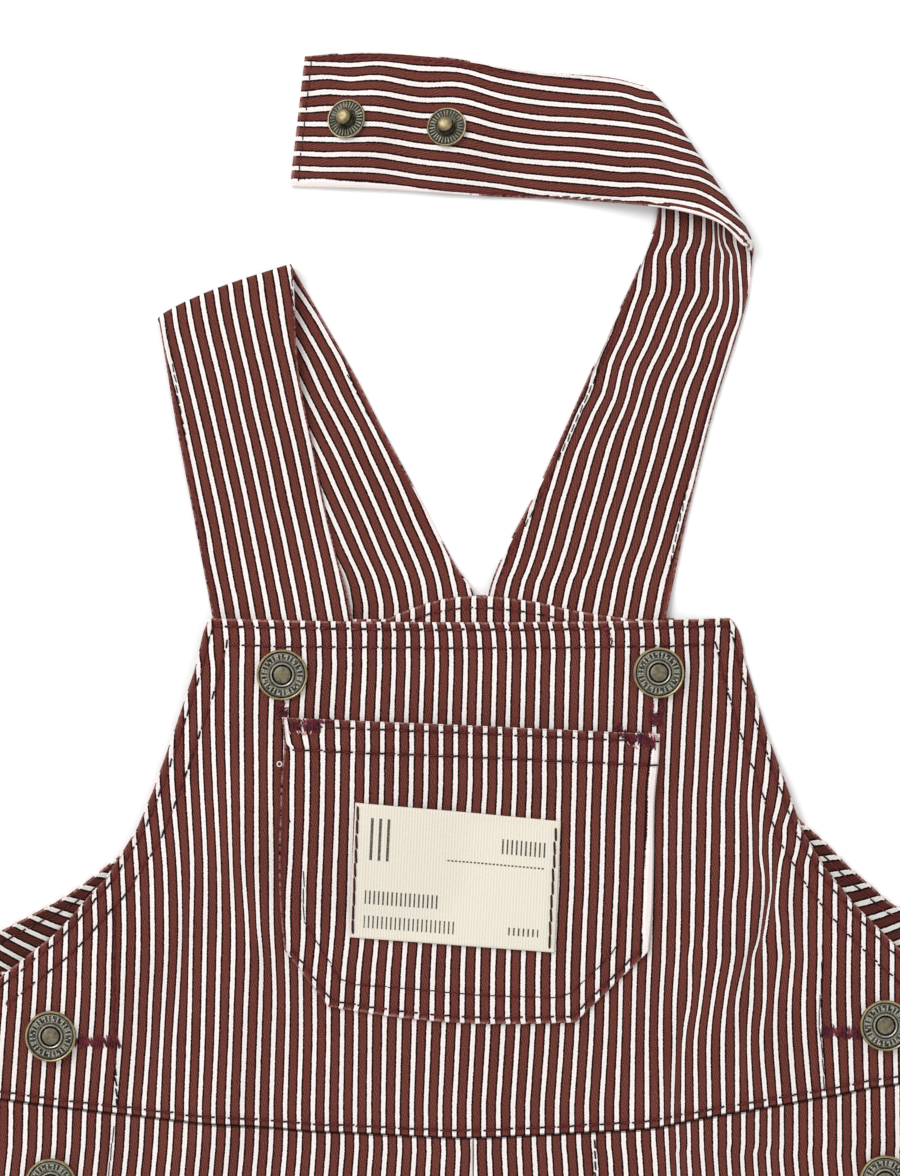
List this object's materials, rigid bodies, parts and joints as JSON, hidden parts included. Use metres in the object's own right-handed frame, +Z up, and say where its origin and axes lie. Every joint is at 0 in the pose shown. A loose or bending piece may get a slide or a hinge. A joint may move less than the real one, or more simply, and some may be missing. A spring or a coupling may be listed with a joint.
{
  "type": "dungarees",
  "caption": "Child's striped bib dungarees laid flat, one strap fastened behind the bib and the other loose, with a chest pocket and press-stud caps.",
  "frame": {"origin": "centre of the laid garment's outline, on the surface it lies on", "axes": "+Y from the trouser hems to the straps, +Z up out of the bib's face, +X to the right seen from the front"},
  "size_m": [0.336, 0.8389, 0.0119],
  "materials": {
    "striped_twill": "dark red and off-white woven stripes, cotton twill",
    "woven_label": "cream woven tape",
    "antique_brass": "antique, rubbed bright on raised rims",
    "thread": "dark red sewing thread"
  },
  "bodies": {
    "root": {"back_bib": "striped_twill", "back_leg_l": "striped_twill", "back_leg_r": "striped_twill", "back_top_facing": "striped_twill", "back_armhole_facing_l": "striped_twill", "back_armhole_facing_r": "striped_twill", "side_underlap_l": "striped_twill", "side_underlap_r": "striped_twill", "strap_l": "striped_twill", "strap_r": "striped_twill", "front_bib": "striped_twill", "front_leg_l": "striped_twill", "front_leg_r": "striped_twill", "chest_pocket": "striped_twill", "woven_label": "woven_label", "cap_bib_l": "antique_brass", "cap_bib_r": "antique_brass", "cap_side_upper_l": "antique_brass", "cap_side_upper_r": "antique_brass", "cap_side_lower_l": "antique_brass", "cap_side_lower_r": "antique_brass", "stud_strap_l_upper": "antique_brass", "stud_strap_l_lower": "antique_brass", "stud_strap_r_end": "antique_brass", "stud_strap_r_inner": "antique_brass"}
  },
  "joints": []
}
